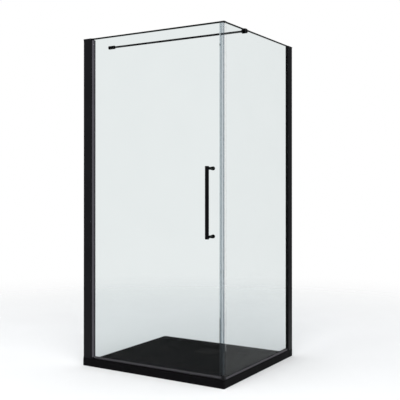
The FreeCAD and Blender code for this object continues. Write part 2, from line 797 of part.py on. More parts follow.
def corner_block():
    """Block on the tray at the corner that ends the rail and carries the panel's seal."""
    body = new_body("corner_block", "side_plane_x", "door_plane_y", "tray_height")
    outline = sketch_on(body, "XY_Plane")
    half = "rail_width / 2"
    rectangle(outline, f"-{half}", f"-{half}", half, "corner_gap")
    pad(body, outline, "corner_block_high")
    round_edges(body, lambda edge: is_upright(edge) and edge.BoundBox.YMax < 0, "corner_block_round")


# Handle. Its small pieces' sketches have y from the bar's axis towards the glass.

def handle_bar():
    """Round bar with softened ends and a blind socket for each post."""
    body = new_body("handle_bar", "handle_x", "handle_y", "handle_low_z")
    bar = sketch_on(body, "XY_Plane")
    circle(bar, "0", "0", "handle_bar")
    pad(body, bar, "handle_long")
    ends = [lies_at_z(0), lies_at_z(number("handle_long"))]
    round_edges(body, lambda edge: any(end(edge) for end in ends), "handle_end_round")
    socket = sketch_on(body, "XZ_Plane", "-handle_bar / 2")
    circle(socket, "0", "post_end", "spigot_wide + 2 * spigot_gap")
    row(body, [cut(body, socket, "spigot_deep")], "Z_Axis", "post_run", 2)


def handle_pair(label, *rings):
    """A turned piece at each end of the handle, from half sections given as lists of corners."""
    body = new_body(label, "handle_x", "handle_y", "post_low_z")
    half = sketch_on(body, "XY_Plane")
    for corners in rings:
        polygon(half, corners)
    row(body, [revolve(body, half, "Y_Axis")], "Z_Axis", "post_run", 2)


def ring(inside, outside, low, high):
    """Half section of a ring."""
    return [(inside, low), (outside, low), (outside, high), (inside, high)]


def handle_posts():
    """Two posts: a foot disc on the glass, a neck saddled to the bar, a spigot in it and a tapped hole."""
    body = new_body("handle_posts", "handle_x", "handle_y", "post_low_z")
    foot = "handle_reach - handle_washer_thick"
    shoulder = f"{foot} - post_foot_thick"
    hole = "handle_screw / 2 + screw_gap"
    hole_end = f"{foot} - handle_screw_grip"
    neck = sketch_on(body, "XY_Plane")
    polygon(neck, [("0", "0"), ("post_wide / 2", "0"), ("post_wide / 2", shoulder),
                   ("post_foot / 2", shoulder), ("post_foot / 2", foot), (hole, foot),
                   (hole, hole_end), ("0", hole_end)])
    post = revolve(body, neck, "Y_Axis")
    saddle = sketch_on(body, "XY_Plane", "-post_wide")
    circle(saddle, "0", "0", "handle_bar + 2 * spigot_gap")
    saddle_cut = cut(body, saddle, "2 * post_wide")
    tongue = sketch_on(body, "XY_Plane")
    polygon(tongue, ring("0", "spigot_wide / 2", "handle_bar / 2 - spigot_deep + spigot_gap", "handle_bar"))
    spigot = revolve(body, tongue, "Y_Axis")
    row(body, [post, saddle_cut, spigot], "Z_Axis", "post_run", 2)


def handle_fixings():
    """Screws from the shower's side, washers on both faces, sleeves in the glass and caps on the heads."""
    screw = "handle_screw / 2"
    inner_face = "handle_reach + glass_thick"
    seat = f"{inner_face} + handle_washer_thick"
    head_top = f"{seat} + handle_head_high"
    tip = "handle_reach - handle_washer_thick - handle_screw_grip + screw_gap"
    clear = f"{screw} + screw_gap"
    cavity = "handle_head / 2 + screw_gap"
    roof = f"{head_top} + screw_gap"
    handle_pair("handle_screws", [("0", tip), (screw, tip), (screw, seat), ("handle_head / 2", seat),
                                  ("handle_head / 2", head_top), ("0", head_top)])
    handle_pair("handle_washers", ring(clear, "handle_washer / 2", "handle_reach - handle_washer_thick",
                                       "handle_reach"),
                ring(clear, "handle_washer / 2", inner_face, seat))
    handle_pair("handle_sleeves", ring(clear, "glass_hole / 2 - spigot_gap", "handle_reach", inner_face))
    bevel = "inner_cap_bevel"
    handle_pair("handle_inner_caps", [(cavity, seat), ("inner_cap / 2", seat),
                                      ("inner_cap / 2", f"{seat} + inner_cap_high - {bevel}"),
                                      (f"inner_cap / 2 - {bevel}", f"{seat} + inner_cap_high"),
                                      ("0", f"{seat} + inner_cap_high"), ("0", roof), (cavity, roof)])


# Side panel

def side_glass():
    """Fixed toughened pane."""
    body = new_body("side_glass", "side_plane_x - glass_half")
    pane = sketch_on(body, "YZ_Plane")
    rectangle(pane, "panel_front_y", "panel_bottom_z", "panel_back_y", "frame_top_z")
    pad(body, pane, "glass_thick")


def side_bottom_rail():
    """Slim U rail on the tray under the fixed pane."""
    body = new_body("side_bottom_rail", "side_plane_x", "panel_front_y", "tray_height")
    section = sketch_on(body, "XZ_Plane")
    half = "rail_width / 2"
    polygon(section, [(f"-{half}", "0"), (half, "0"), (half, "rail_height"),
                      ("rail_inside_half", "rail_height"), ("rail_inside_half", "rail_floor"),
                      ("-rail_inside_half", "rail_floor"), ("-rail_inside_half", "rail_height"),
                      (f"-{half}", "rail_height")])
    pad(body, section, "rail_back_y - panel_front_y", flip=True)


def side_setting_blocks():
    """Two blocks in the rail that carry the pane."""
    body = new_body("side_setting_blocks", "side_plane_x", "panel_front_y", "tray_height + rail_floor")
    block = sketch_on(body, "XY_Plane")
    rectangle(block, "-rail_inside_half", "block_end", "rail_inside_half", "block_end + block_long")
    run = "rail_back_y - panel_front_y - 2 * block_end - block_long"
    row(body, [pad(body, block, "block_high")], "Y_Axis", run, 2)


def side_rail_gaskets():
    """Two strips between the pane and the rail's legs, standing a lip above them."""
    body = new_body("side_rail_gaskets", "side_plane_x", "panel_front_y", "panel_bottom_z")
    section = sketch_on(body, "XZ_Plane")
    top = "tray_height + rail_height + gasket_lip - panel_bottom_z"
    for sign in (-1, 1):
        rectangle(section, side(sign, "glass_half"), "0", side(sign, "rail_inside_half"), top)
    pad(body, section, "rail_back_y - panel_front_y", flip=True)


# Stay bar. The sketches of its fittings have x along the bar, from the left wall or the panel's plane.

def stay_wall_plate():
    """Disc screwed to the wall, on which the socket sits."""
    body = new_body("stay_wall_plate", "left_wall_x", "stay_y", "stay_z")
    disc = sketch_on(body, "YZ_Plane")
    circle(disc, "0", "0", "wall_plate")
    circle(disc, "0", "0", "wall_plate_hole")
    pad(body, disc, "wall_plate_thick")


def stay_wall_socket():
    """Round cup over the wall plate, bored for the bar, with a grub screw hole below."""
    body = new_body("stay_wall_socket", "left_wall_x", "stay_y", "stay_z")
    half = sketch_on(body, "XY_Plane")
    floor = "wall_plate_thick + stay_fit_gap"
    bore = "stay_bar / 2 + stay_fit_gap"
    cup = "wall_plate / 2 + stay_fit_gap"
    nose = "socket_long - stay_fitting_bevel"
    polygon(half, [("0", cup), ("0", "stay_fitting / 2"), (nose, "stay_fitting / 2"),
                   ("socket_long", "stay_fitting / 2 - stay_fitting_bevel"), ("socket_long", bore),
                   (floor, bore), (floor, cup)])
    revolve(body, half, "X_Axis")
    grub_hole(body, "socket_long - stay_insert / 2", "stay_fitting / 2")


def grub_hole(body, x, radius):
    """Radial hole from below to the bar's bore."""
    sketch = sketch_on(body, "XY_Plane", f"-{radius}")
    circle(sketch, x, "0", "grub + screw_gap")
    cut(body, sketch, radius)


def stay_bar():
    """Round bar from the wall socket to the clamp."""
    body = new_body("stay_bar", "bar_start_x", "stay_y", "stay_z")
    section = sketch_on(body, "YZ_Plane")
    circle(section, "0", "0", "stay_bar")
    pad(body, section, "bar_end_x - bar_start_x")


def stay_clamp():
    """Round clamp with a bridge over the pane's top edge, bored for the bar and for the jaw screw."""
    body = new_body("stay_clamp", "side_plane_x", "stay_y", "stay_z")
    half = sketch_on(body, "XY_Plane")
    radius = "clamp_wide / 2"
    bevel = "stay_fitting_bevel"
    polygon(half, [("-clamp_inside", "0"), ("-clamp_inside", f"{radius} - {bevel}"),
                   (f"-clamp_inside + {bevel}", radius), (f"clamp_outside - {bevel}", radius),
                   ("clamp_outside", f"{radius} - {bevel}"), ("clamp_outside", "0")])
    revolve(body, half, "X_Axis")
    bridge = sketch_on(body, "XY_Plane")
    leg = "(jaw_half + bridge_thick)"
    rectangle(bridge, f"-{leg}", "-bridge_wide / 2", leg, "bridge_wide / 2")
    pad(body, bridge, "stay_drop + clamp_roof_gap + bridge_thick")
    slot = sketch_on(body, "XZ_Plane", "-clamp_wide")
    rectangle(slot, "-jaw_half", "-clamp_wide", "jaw_half", "stay_drop + clamp_roof_gap")
    cut(body, slot, "2 * clamp_wide")
    bore = sketch_on(body, "YZ_Plane", "-clamp_inside")
    circle(bore, "0", "0", "stay_bar + 2 * stay_fit_gap")
    cut(body, bore, "clamp_insert + stay_fit_gap")
    jaw = sketch_on(body, "YZ_Plane", "jaw_half")
    circle(jaw, "0", "0", "jaw_grub + screw_gap")
    cut(body, jaw, "clamp_outside - jaw_half")
    grub_hole(body, "-clamp_inside + clamp_insert / 2", radius)


def stay_clamp_pads():
    """Two thin pads between the clamp's jaws and the pane."""
    body = new_body("stay_clamp_pads", "side_plane_x", "stay_y", "stay_z")
    half = "pad_high / 2"
    for sign in (-1, 1):
        sketch = sketch_on(body, "YZ_Plane", side(sign, "glass_half"))
        rectangle(sketch, "-pad_wide / 2", f"-{half}", "pad_wide / 2", half)
        pad(body, sketch, "pad_thick", flip=sign < 0)


def stay_grub_screws():
    """Grub screws below the socket and the clamp that hold the bar, and the clamp's jaw screw."""
    body = new_body("stay_grub_screws", "0", "stay_y", "stay_z")
    below = sketch_on(body, "XY_Plane", "-stay_bar / 2 - stay_fit_gap")
    circle(below, "bar_start_x + stay_insert / 2", "0", "grub")
    circle(below, "bar_end_x - clamp_insert / 2", "0", "grub")
    pad(body, below, "grub_long", flip=True)
    jaw = sketch_on(body, "YZ_Plane", "side_plane_x + jaw_half")
    circle(jaw, "0", "0", "jaw_grub")
    pad(body, jaw, "clamp_outside - jaw_half - stay_fitting_bevel")


def build():
    """Make every sub-part, in the order in which the enclosure is put together."""
    shower_tray()
    waste_cover()
    lock_line = ("clamp_screw_from_wall", "clamp_screw_end")
    wall_channel("hinge_wall_channel", hinge_place(), HINGE_INNER, "hinge_long")
    hinge_jamb()
    lock_screws("hinge_clamp_screws", hinge_place(*lock_line), HINGE_INNER, "hinge_long")
    screw_caps("hinge_screw_caps", hinge_place(*lock_line), HINGE_INNER, "hinge_long")
    pivot_bracket("hinge_top_bracket", "profile_top_z", "top_plate_thick", "tongue_half", heads_up=True)
    pivot_bracket("hinge_foot_bracket", "tray_height", "foot_plate_thick", "nose_radius", heads_up=False)
    bracket_screws()
    pivot_pin("top_pivot_pin", "leaf_top_z - pivot_pin_grip", "frame_top_z")
    pivot_pin("foot_pivot_pin", "tray_height", "leaf_bottom_z + pivot_pin_grip")
    thrust_washer()
    hinge_lip_seal()
    door_stile()
    stile_place = {"x": "pivot_x", "y": "door_plane_y", "z": "leaf_bottom_z + bearing_flange"}
    glazing_gasket("stile_gasket", stile_place, "stile_slot", "stile_reach + gasket_lip",
                   "leaf_high - 2 * bearing_flange")
    pivot_bearing("top_pivot_bearing", "leaf_top_z - bearing_long", "bearing_long - bearing_flange")
    pivot_bearing("foot_pivot_bearing", "leaf_bottom_z", "0")
    door_glass()
    door_bottom_seal()
    corner_seal("door_magnet_seal", "door_magnet", "seal_bottom_z + lift_gap", mirrored=False)
    handle_bar()
    handle_posts()
    handle_fixings()
    wall_channel("side_wall_channel", side_place(), SIDE_INNER, "side_long")
    side_glazing_profile()
    side_profile_cap()
    lock_screws("side_clamp_screws", side_place(*lock_line), SIDE_INNER, "side_long")
    screw_caps("side_screw_caps", side_place(*lock_line), SIDE_INNER, "side_long")
    glazing_gasket("side_glass_gasket", side_place(up="panel_bottom_z - tray_height"), "web_end_u",
                   "cheek_reach + gasket_lip", "side_top_z - panel_bottom_z")
    side_glass()
    side_bottom_rail()
    side_setting_blocks()
    side_rail_gaskets()
    corner_block()
    corner_seal("strike_seal", "strike_magnet", "seal_bottom_z", mirrored=True)
    stay_wall_plate()
    stay_wall_socket()
    stay_bar()
    stay_clamp()
    stay_clamp_pads()
    stay_grub_screws()
    doc.recompute()


def check():
    """Stop if a feature failed, a cut took nothing away, or a sub-part has no valid solid."""
    cutters = ("PartDesign::Pocket", "PartDesign::SubtractiveLoft")
    for item in doc.Objects:
        if "Invalid" in item.State or "Error" in item.State:
            raise RuntimeError(f"{item.Name} failed: {item.State}")
        if item.TypeId in cutters and item.Shape.Volume > item.BaseFeature.Shape.Volume - 0.001:
            raise RuntimeError(f"{item.Name} cuts nothing")
    for piece in pieces:
        if piece.Shape.isNull() or not piece.Shape.isValid() or not piece.Shape.Solids:
            raise RuntimeError(f"{piece.Label} has no valid solid")


def write():
    """Write each sub-part's solids to a file of its own name."""
    os.makedirs("parts", exist_ok=True)
    for piece in pieces:
        piece.Shape.exportStep(f"parts/{piece.Label}.step")


fill_sheet()
build()
check()
write()
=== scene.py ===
import bpy
import math
import numpy as np
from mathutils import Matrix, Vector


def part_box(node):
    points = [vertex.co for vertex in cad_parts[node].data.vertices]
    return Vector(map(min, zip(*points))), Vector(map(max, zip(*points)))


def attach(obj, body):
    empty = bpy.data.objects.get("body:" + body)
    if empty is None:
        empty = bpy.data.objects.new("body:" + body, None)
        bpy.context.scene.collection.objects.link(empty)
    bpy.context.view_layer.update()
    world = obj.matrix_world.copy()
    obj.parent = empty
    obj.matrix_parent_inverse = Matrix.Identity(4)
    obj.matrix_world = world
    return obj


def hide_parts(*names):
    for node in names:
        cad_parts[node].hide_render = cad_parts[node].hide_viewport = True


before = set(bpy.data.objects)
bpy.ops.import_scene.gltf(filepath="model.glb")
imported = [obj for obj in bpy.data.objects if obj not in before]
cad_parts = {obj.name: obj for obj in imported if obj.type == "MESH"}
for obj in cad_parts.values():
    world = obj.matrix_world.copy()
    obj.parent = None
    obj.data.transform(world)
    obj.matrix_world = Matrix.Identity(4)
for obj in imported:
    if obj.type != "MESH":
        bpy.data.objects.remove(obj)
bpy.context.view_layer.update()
scene = bpy.context.scene
scene.view_settings.view_transform = "Standard"

# Viewpoint: standing off the near corner, level with the handle, with a lens that keeps the upright
# profiles parallel. The small shift sets the enclosure in the frame.
lens = bpy.data.cameras.new("viewpoint")
lens.lens = 64.43
lens.shift_x = -0.0004
lens.shift_y = -0.0463
viewpoint = bpy.data.objects.new("viewpoint", lens)
viewpoint.location = (2.4201, -3.8397, 1.1203)
viewpoint.rotation_euler = [math.radians(angle) for angle in (90.15, 0.0, 31.45)]
scene.collection.objects.link(viewpoint)
scene.camera = viewpoint


# Studio: a pale floor that fades into a white room, lit evenly from all round with one large soft
# lamp above the near corner. Floor and room aren't part of the enclosure.
def linear(code):
    """Colour of an sRGB hex code in the linear light that shaders use."""
    parts = [int(code[i:i + 2], 16) / 255 for i in (1, 3, 5)]
    return (*(c / 12.92 if c <= 0.04045 else ((c + 0.055) / 1.055) ** 2.4 for c in parts), 1.0)


def add(tree, kind, inputs=None, **settings):
    """Node of that kind with its settings, and with each input given as a value or as a socket to link."""
    node = tree.nodes.new(kind)
    for name, value in settings.items():
        setattr(node, name, value)
    for key, value in (inputs or {}).items():
        if isinstance(value, bpy.types.NodeSocket):
            tree.links.new(value, node.inputs[key])
        else:
            node.inputs[key].default_value = value
    return node


def new_material(name):
    """Material with an empty node tree, and that tree."""
    material = bpy.data.materials.new(name)
    material.use_nodes = True
    material.node_tree.nodes.clear()
    return material, material.node_tree


def surface(name, points, faces, material):
    """Smooth mesh object at the origin from an array of points in metres and a list of face corners."""
    mesh = bpy.data.meshes.new(name)
    mesh.from_pydata(points.tolist(), [], faces)
    mesh.materials.append(material)
    mesh.polygons.foreach_set("use_smooth", [True] * len(mesh.polygons))
    mesh.update()
    piece = bpy.data.objects.new(name, mesh)
    scene.collection.objects.link(piece)
    return piece


# White room: white to the eye and through glass, a little softer as a light, and dim in mirror images, so
# that the black coats stay black.
room = bpy.data.worlds.new("white_room")
room.use_nodes = True
tree = room.node_tree
tree.nodes.clear()
rays = add(tree, "ShaderNodeLightPath")
glow = add(tree, "ShaderNodeBackground", {"Color": linear("#f4f6f8"), "Strength": 0.88})
dim = add(tree, "ShaderNodeBackground", {"Color": linear("#f4f6f8"), "Strength": 0.3})
white = add(tree, "ShaderNodeBackground", {"Color": linear("#ffffff"), "Strength": 1.0})
seen = add(tree, "ShaderNodeMath", {0: rays.outputs["Is Camera Ray"],
                                    1: rays.outputs["Is Transmission Ray"]}, operation="MAXIMUM")
light = add(tree, "ShaderNodeMixShader", {0: rays.outputs["Is Glossy Ray"], 1: glow.outputs[0],
                                          2: dim.outputs[0]})
shown = add(tree, "ShaderNodeMixShader", {0: seen.outputs[0], 1: light.outputs[0], 2: white.outputs[0]})
add(tree, "ShaderNodeOutputWorld", {"Surface": shown.outputs[0]})
scene.world = room

lamp = bpy.data.lights.new("soft_lamp", "AREA")
lamp.size = 3.0
lamp.energy = 110
soft_lamp = bpy.data.objects.new("soft_lamp", lamp)
soft_lamp.location = (1.0, -2.4, 4.2)
soft_lamp.rotation_euler = [math.radians(angle) for angle in (38.0, 0.0, 22.0)]
scene.collection.objects.link(soft_lamp)

# Pale matt floor: even, with a faint cloudiness. It fades from 1 to 4.5 m out, so that it has no edge.
fade_from = 1.0
fade_to = 4.5
reach = 10.0
pale_floor, tree = new_material("pale_matt_floor")
place = add(tree, "ShaderNodeTexCoord")
cloud = add(tree, "ShaderNodeTexNoise", {"Vector": place.outputs["Object"], "Scale": 1.5, "Detail": 3.0})
tone = add(tree, "ShaderNodeMix", {0: cloud.outputs["Fac"], 6: linear("#f1f1f1"), 7: linear("#f7f7f7")},
           data_type="RGBA")
paint = add(tree, "ShaderNodeBsdfPrincipled", {"Base Color": tone.outputs[2], "Roughness": 0.9,
                                               "Specular IOR Level": 0.0})
away = add(tree, "ShaderNodeVectorMath", {0: place.outputs["Object"]}, operation="LENGTH")
fade = add(tree, "ShaderNodeMapRange", {"Value": away.outputs["Value"], "From Min": fade_from,
                                        "From Max": fade_to}, interpolation_type="SMOOTHSTEP")
clear = add(tree, "ShaderNodeBsdfTransparent")
both = add(tree, "ShaderNodeMixShader", {0: fade.outputs[0], 1: paint.outputs[0], 2: clear.outputs[0]})
add(tree, "ShaderNodeOutputMaterial", {"Surface": both.outputs[0]})
corners = np.array([(-1, -1, 0), (1, -1, 0), (1, 1, 0), (-1, 1, 0)]) * reach
surface("pale_floor", corners, [(0, 1, 2, 3)], pale_floor)


# Tray: a low slab of mineral resin cast in a mould, black through and through, with a matt gel face.
# It lies loose on the floor; the upstand on its open sides carries the door's and the panel's feet.
def smooth_curves():
    """Modifier group that shades faces smooth and keeps edges over 25 degrees sharp."""
    group = bpy.data.node_groups.new("smooth_curves", "GeometryNodeTree")
    for way in ("INPUT", "OUTPUT"):
        group.interface.new_socket("Geometry", in_out=way, socket_type="NodeSocketGeometry")
    start = add(group, "NodeGroupInput")
    smooth = add(group, "GeometryNodeSetShadeSmooth", {0: start.outputs[0]}, domain="FACE")
    angle = add(group, "GeometryNodeInputMeshEdgeAngle")
    sharp = add(group, "FunctionNodeCompare", {0: angle.outputs[0], 1: math.radians(25)},
                operation="GREATER_THAN")
    edges = add(group, "GeometryNodeSetShadeSmooth", {0: smooth.outputs[0], 1: sharp.outputs[0], 2: False},
                domain="EDGE")
    add(group, "NodeGroupOutput", {0: edges.outputs[0]})
    return group


SMOOTH_CURVES = smooth_curves()


def finish(names, material, ease_mm):
    """Puts a finish on solids: joins their triangles into flats and curves, takes the corner off sharp
    edges by a bevel of the given width, or leaves them at 0, and shades the curves smooth."""
    for name in names:
        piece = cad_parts[name]
        piece.material_slots[0].material = material
        joined = piece.modifiers.new("joined", "WELD")
        joined.merge_threshold = 0.00001
        flats = piece.modifiers.new("flats", "DECIMATE")
        flats.decimate_type = "DISSOLVE"
        flats.angle_limit = math.radians(0.5)
        if ease_mm:
            ease = piece.modifiers.new("ease", "BEVEL")
            ease.width = ease_mm / 1000
            ease.segments = 2
            ease.limit_method = "ANGLE"
            ease.angle_limit = math.radians(40)
        curves = piece.modifiers.new("curves", "NODES")
        curves.node_group = SMOOTH_CURVES
        even = piece.modifiers.new("even", "WEIGHTED_NORMAL")
        even.keep_sharp = True


def per_mm(*sizes):
    """Texture scales for features of these sizes in mm on coordinates in metres."""
    return [1000 / size for size in sizes]


def opaque(name, tones, patch_mm, roughness, grain_mm, depth_mm, specular=0.5, metallic=0.0):
    """Opaque finish: two tones in soft patches, roughness that follows them, and a grain raised by depth.
    The grain's three sizes are along x, y and z, so that a long one draws the marks of an extrusion."""
    material, tree = new_material(name)
    place = add(tree, "ShaderNodeTexCoord")
    patches = add(tree, "ShaderNodeTexNoise", {"Vector": place.outputs["Object"],
                                               "Scale": per_mm(patch_mm)[0], "Detail": 4.0})
    tone = add(tree, "ShaderNodeMix", {0: patches.outputs["Fac"], 6: linear(tones[0]), 7: linear(tones[1])},
               data_type="RGBA")
    rough = add(tree, "ShaderNodeMapRange", {"Value": patches.outputs["Fac"], "From Min": 0.3,
                                             "From Max": 0.7, "To Min": roughness[0],
                                             "To Max": roughness[1]})
    scaled = add(tree, "ShaderNodeMapping", {"Vector": place.outputs["Object"], "Scale": per_mm(*grain_mm)})
    grain = add(tree, "ShaderNodeTexNoise", {"Vector": scaled.outputs[0], "Scale": 1.0, "Detail": 2.0})
    raised = add(tree, "ShaderNodeBump", {"Height": grain.outputs["Fac"], "Distance": depth_mm / 1000,
                                          "Strength": 0.6})
    shader = add(tree, "ShaderNodeBsdfPrincipled", {"Base Color": tone.outputs[2],
                                                    "Roughness": rough.outputs[0],
                                                    "Specular IOR Level": specular, "Metallic": metallic,
                                                    "Normal": raised.outputs[0]})
    add(tree, "ShaderNodeOutputMaterial", {"Surface": shader.outputs[0]})
    return material


# Cast resin: matt and dark, with a slate-like grain. The grain of 0.5 mm is drawn at 4 mm to show.
cast_resin = opaque("cast_mineral_resin", tones=("#040405", "#141315"), patch_mm=45,
                    roughness=(0.45, 0.65), grain_mm=(4, 4, 4), depth_mm=0.5, specular=0.03)
finish(["shower_tray"], cast_resin, ease_mm=0)


# Waste cover: a pressed steel plate with a textured black powder coat that stands on four feet over the
# waste hole and is lifted out by hand.
# Textured coat: dull black with a close pebbled grain. The grain of 0.5 mm is drawn at 1.5 mm to show.
coated_cover = opaque("textured_powder_coat_on_steel", tones=("#0d0c0e", "#131214"), patch_mm=40,
                      roughness=(0.45, 0.60), grain_mm=(1.5, 1.5, 1.5), depth_mm=0.12, specular=0.05)
finish(["waste_cover"], coated_cover, ease_mm=0)


# Wall channels and the profiles that slide over them: extruded aluminium, sawn to length and powder
# coated matt black. The channels are screwed to the walls, and the profiles lock on to them.
# Matt powder coat: an even black with fine lines along the extrusion, drawn at 1.5 mm to show.
matt_black = opaque("matt_black_powder_coat", tones=("#121214", "#19191c"), patch_mm=160,
                    roughness=(0.42, 0.55), grain_mm=(1.5, 1.5, 400), depth_mm=0.06, specular=0.08)
finish(["hinge_wall_channel", "hinge_jamb", "side_wall_channel", "side_glazing_profile"], matt_black,
       ease_mm=0.25)
finish(["side_profile_cap"], matt_black, ease_mm=0.5)


# Lock screws and their caps: pan-head steel screws through the inner face of each profile into its
# channel, each under a moulded nylon cap that snaps over the head.
# Drawn steel: bright, with fine lines along the wire, which are drawn at 0.4 mm to show.
plain_steel = opaque("drawn_stainless_steel", tones=("#a9a9a6", "#c2c2bf"), patch_mm=6,
                     roughness=(0.22, 0.36), grain_mm=(0.4, 0.4, 6), depth_mm=0.01, metallic=1.0)
# Moulded nylon: a soft black sheen with the fine grain of the mould, drawn at 0.8 mm to show.
moulded_nylon = opaque("moulded_black_nylon", tones=("#141416", "#1c1c1e"), patch_mm=25,
                       roughness=(0.42, 0.55), grain_mm=(0.8, 0.8, 0.8), depth_mm=0.03, specular=0.12)
finish(["hinge_clamp_screws", "side_clamp_screws"], plain_steel, ease_mm=0)
finish(["hinge_screw_caps", "side_screw_caps"], moulded_nylon, ease_mm=0.3)


# Hinge brackets: cast zinc plates, powder coated like the profiles, that close the jamb at both ends and
# carry the steel pivot pins. The door stands on a nylon washer, and a rubber lip shuts the gap beside it.
# Extruded rubber: dull black, with faint lines along the strip, drawn at 0.7 mm to show.
rubber = opaque("extruded_black_rubber", tones=("#0f0f10", "#171718"), patch_mm=30,
                roughness=(0.60, 0.75), grain_mm=(0.7, 0.7, 80), depth_mm=0.03, specular=0.1)
finish(["hinge_top_bracket", "hinge_foot_bracket"], matt_black, ease_mm=0.5)
finish(["top_pivot_pin", "foot_pivot_pin"], plain_steel, ease_mm=0)
finish(["thrust_washer", "top_pivot_bearing", "foot_pivot_bearing"], moulded_nylon, ease_mm=0.2)
finish(["hinge_lip_seal"], rubber, ease_mm=0.3)


# Bracket screws: two cheese-head screws of drawn steel hold each bracket to the jamb's screw ports. The
# cross recess in the head has arms of 2.2 by 1.1 mm and narrows towards its floor.
STEPS = 96
TURN = np.arange(STEPS) * 2 * np.pi / STEPS


def turned(name, node, solids, material):
    """Closed turned solids in place of a node of the fixed frame, each from a spot, an axis and its rings.
    A ring is a radius, which may differ round the turn, and a height along the axis, both in mm. A strip
    of faces joins each ring to the next, and one face closes each end."""
    points = np.empty((0, 3))
    faces = []
    for spot, axis, rings in solids:
        across = np.roll(axis, 1)
        spokes = np.cos(TURN)[:, None] * across + np.sin(TURN)[:, None] * np.cross(axis, across)
        radii = np.array([np.broadcast_to(radius, TURN.shape) for radius, _ in rings]) / 1000
        heights = np.array([height for _, height in rings]) / 1000
        grid = np.array(spot) + radii[..., None] * spokes + heights[:, None, None] * np.array(axis)
        index = len(points) + np.arange(radii.size).reshape(radii.shape)
        beside = np.roll(index, -1, axis=1)
        strips = np.stack([index[:-1], beside[:-1], beside[1:], index[1:]], axis=-1)
        faces += strips.reshape(-1, 4).tolist() + [index[0, ::-1].tolist(), index[-1].tolist()]
        points = np.concatenate([points, grid.reshape(-1, 3)])
    piece = surface(name, points, faces, material)
    piece.modifiers.new("curves", "NODES").node_group = SMOOTH_CURVES
    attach(piece, "enclosure")
    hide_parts(node)


# The box gives the heads' place in metres. Radii and lengths of the screw are in mm, as its rings are.
low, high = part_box("bracket_screws")
middle = (low[0] + high[0]) / 2
head = (high[0] - low[0]) / 2 * 1000
head_high = 2.0
head_ease = 0.3
shank = 1.5
screw_long = 18.0
point = 1.1
point_long = 0.5
arm_long = 2.2
arm_half = 0.55
recess_deep = 1.4
recess_floor = 0.8
# A cross is the larger of two crossed bars, and each bar the smaller of its reach along and across.
along = np.abs(np.cos(TURN)) + 1e-6
aside = np.abs(np.sin(TURN)) + 1e-6
cross = np.maximum(np.minimum(arm_long / along, arm_half / aside),
                   np.minimum(arm_long / aside, arm_half / along))
cheese_head = [(point, -screw_long), (shank, point_long - screw_long), (shank, -head_high),
               (head, -head_high), (head, -head_ease), (head - head_ease, 0.0), (cross, 0.0),
               (cross * recess_floor, -recess_deep)]
turned("cross_recess_screws", "bracket_screws",
       [((middle, y, z), (0, 0, way), cheese_head) for z, way in ((high[2], 1), (low[2], -1))
        for y in (low[1] + head / 1000, high[1] - head / 1000)], plain_steel)


# Door stile: an aluminium extrusion with a round nose on the pivot and a slot that grips the glass in
# a rubber gasket. Its black coat is smoother than the profiles', and its colour is a paler grey that paints
# in the sheen it catches.
# Sheen coat: a dark grey that stands for black powder coat with painted sheen, with faint lines along the
# extrusion, drawn at 1.5 mm.
# Painted sheen: the base colour is grey where the coat is black.
sheen_grey_coat = opaque("black_coat_painted_sheen", tones=("#444247", "#504e53"), patch_mm=160,
                     roughness=(0.30, 0.40), grain_mm=(1.5, 1.5, 400), depth_mm=0.04, specular=0.15)
# Gasket rubber: dull, painted as pale as the stile's sheen, with faint lines along the strip, drawn at 0.7
# mm.
sheen_grey_rubber = opaque("rubber_painted_sheen", tones=("#444247", "#4e4c51"), patch_mm=30,
                     roughness=(0.60, 0.75), grain_mm=(0.7, 0.7, 80), depth_mm=0.03, specular=0.1)
finish(["door_stile"], sheen_grey_coat, ease_mm=0.4)
finish(["stile_gasket"], sheen_grey_rubber, ease_mm=0.2)
